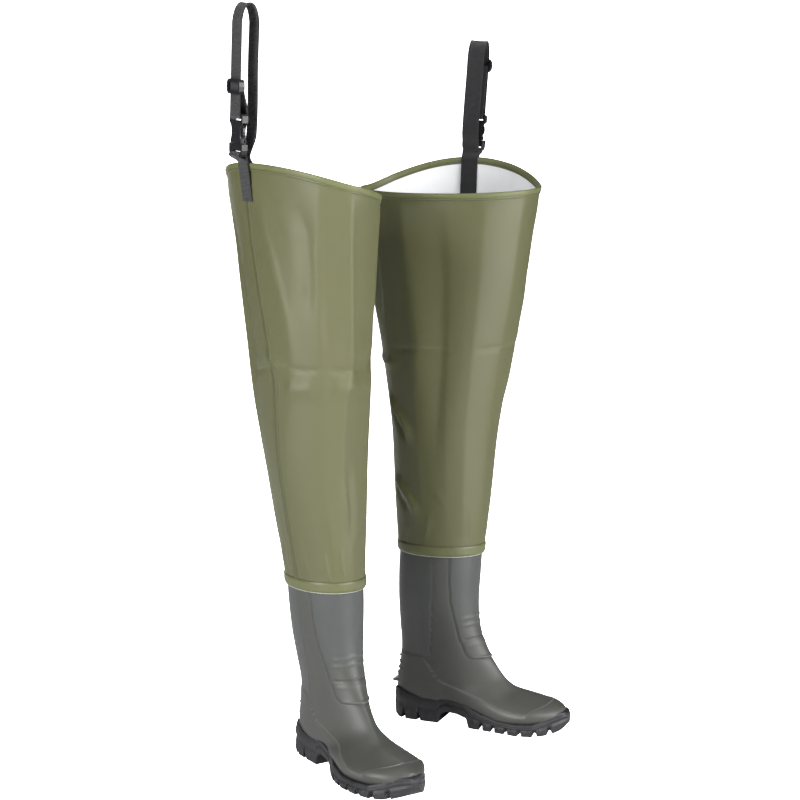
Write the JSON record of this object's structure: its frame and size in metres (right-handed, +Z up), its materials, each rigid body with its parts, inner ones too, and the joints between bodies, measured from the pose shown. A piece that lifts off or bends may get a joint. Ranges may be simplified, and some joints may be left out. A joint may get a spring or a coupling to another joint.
{
  "type": "hip waders",
  "caption": "Hip waders: moulded boots with coated-fabric legs that reach the thigh, each hung from a belt by a webbing loop with a side-release buckle and a slider.",
  "frame": {"origin": "middle of the pair's bounding box, on the ground", "axes": "+Z up, toes towards -Y, +X towards the wearer's left"},
  "size_m": [0.5682, 0.3636, 1.0874],
  "materials": {
    "green_fabric": "satin coated fabric",
    "grey_boot": "moulded, matt to satin",
    "black_sole": "moulded, matt",
    "white_lining": "white knitted lining",
    "black_webbing": "woven webbing",
    "black_plastic": "moulded, satin",
    "grey_insole": "felt"
  },
  "bodies": {
    "boots_and_shins": {"right_outsole": "black_sole", "right_boot_shell": "grey_boot", "right_boot_lining": "white_lining", "right_insole": "grey_insole", "right_weld_band": "green_fabric", "right_shin_fabric": "green_fabric", "right_shin_seam_tape": "green_fabric", "right_knee_fabric": "green_fabric", "right_knee_seam_tape": "green_fabric", "left_outsole": "black_sole", "left_boot_shell": "grey_boot", "left_boot_lining": "white_lining", "left_insole": "grey_insole", "left_weld_band": "green_fabric", "left_shin_fabric": "green_fabric", "left_shin_seam_tape": "green_fabric", "left_knee_fabric": "green_fabric", "left_knee_seam_tape": "green_fabric"},
    "right_thigh": {"right_thigh_fabric": "green_fabric", "right_thigh_seam_tape": "green_fabric", "right_top_hem": "green_fabric", "right_outer_strap_patch": "black_webbing", "right_inner_strap_patch": "black_webbing"},
    "right_strap": {"right_strap_inner_run": "black_webbing", "right_buckle_plug": "black_plastic", "right_buckle_tab": "black_webbing"},
    "right_prong_front": {"right_buckle_prong_front": "black_plastic"},
    "right_prong_rear": {"right_buckle_prong_rear": "black_plastic"},
    "right_strap_end": {"right_strap_outer_run": "black_webbing", "right_buckle_socket": "black_plastic", "right_strap_tail": "black_webbing"},
    "right_slide": {"right_slider": "black_plastic"},
    "left_thigh": {"left_thigh_fabric": "green_fabric", "left_thigh_seam_tape": "green_fabric", "left_top_hem": "green_fabric", "left_outer_strap_patch": "black_webbing", "left_inner_strap_patch": "black_webbing"},
    "left_strap": {"left_strap_inner_run": "black_webbing", "left_buckle_plug": "black_plastic", "left_buckle_tab": "black_webbing"},
    "left_prong_front": {"left_buckle_prong_front": "black_plastic"},
    "left_prong_rear": {"left_buckle_prong_rear": "black_plastic"},
    "left_strap_end": {"left_strap_outer_run": "black_webbing", "left_buckle_socket": "black_plastic", "left_strap_tail": "black_webbing"},
    "left_slide": {"left_slider": "black_plastic"}
  },
  "joints": [
    {"name": "right_knee_bend", "type": "hinge", "parent": "boots_and_shins", "child": "right_thigh", "pos_m": [-0.15373, 0.03508, 0.52], "axis": [-1, 0, 0], "range_deg": [0, 60], "deforming": ["right_knee_fabric", "right_knee_seam_tape"]},
    {"name": "right_strap_swing", "type": "hinge", "parent": "right_thigh", "child": "right_strap", "pos_m": [-0.26514, 0.06914, 0.877], "axis": [-0.2924, -0.9563, 0], "range_deg": [-25, 150]},
    {"name": "right_prong_front_squeeze", "type": "hinge", "parent": "right_strap", "child": "right_prong_front", "pos_m": [-0.27014, 0.05757, 0.89874], "axis": [-0.9563, 0.2924, 0], "range_deg": [0, 7], "stiffness_Nm_per_rad": 0.05},
    {"name": "right_prong_rear_squeeze", "type": "hinge", "parent": "right_strap", "child": "right_prong_rear", "pos_m": [-0.26379, 0.07836, 0.90034], "axis": [0.9563, -0.2924, 0], "range_deg": [0, 7], "stiffness_Nm_per_rad": 0.05},
    {"name": "right_buckle_release", "type": "slide", "parent": "right_strap", "child": "right_strap_end", "axis": [-0.0214, -0.07, 0.9973], "range_m": [0, 0.03]},
    {"name": "right_slider_adjust", "type": "slide", "parent": "right_strap_end", "child": "right_slide", "axis": [-0.0214, -0.07, 0.9973], "range_m": [-0.015, 0.06], "deforming": ["right_strap_tail"]},
    {"name": "left_knee_bend", "type": "hinge", "parent": "boots_and_shins", "child": "left_thigh", "pos_m": [0.15373, 0.03508, 0.52], "axis": [-1, 0, 0], "range_deg": [0, 60], "deforming": ["left_knee_fabric", "left_knee_seam_tape"]},
    {"name": "left_strap_swing", "type": "hinge", "parent": "left_thigh", "child": "left_strap", "pos_m": [0.26514, 0.06914, 0.877], "axis": [-0.2924, 0.9563, 0], "range_deg": [-25, 150]},
    {"name": "left_prong_front_squeeze", "type": "hinge", "parent": "left_strap", "child": "left_prong_front", "pos_m": [0.27014, 0.05757, 0.89874], "axis": [-0.9563, -0.2924, 0], "range_deg": [0, 7], "stiffness_Nm_per_rad": 0.05},
    {"name": "left_prong_rear_squeeze", "type": "hinge", "parent": "left_strap", "child": "left_prong_rear", "pos_m": [0.26379, 0.07836, 0.90034], "axis": [0.9563, 0.2924, 0], "range_deg": [0, 7], "stiffness_Nm_per_rad": 0.05},
    {"name": "left_buckle_release", "type": "slide", "parent": "left_strap", "child": "left_strap_end", "axis": [0.0214, -0.07, 0.9973], "range_m": [0, 0.03]},
    {"name": "left_slider_adjust", "type": "slide", "parent": "left_strap_end", "child": "left_slide", "axis": [0.0214, -0.07, 0.9973], "range_m": [-0.05, 0], "deforming": ["left_strap_tail"]}
  ]
}
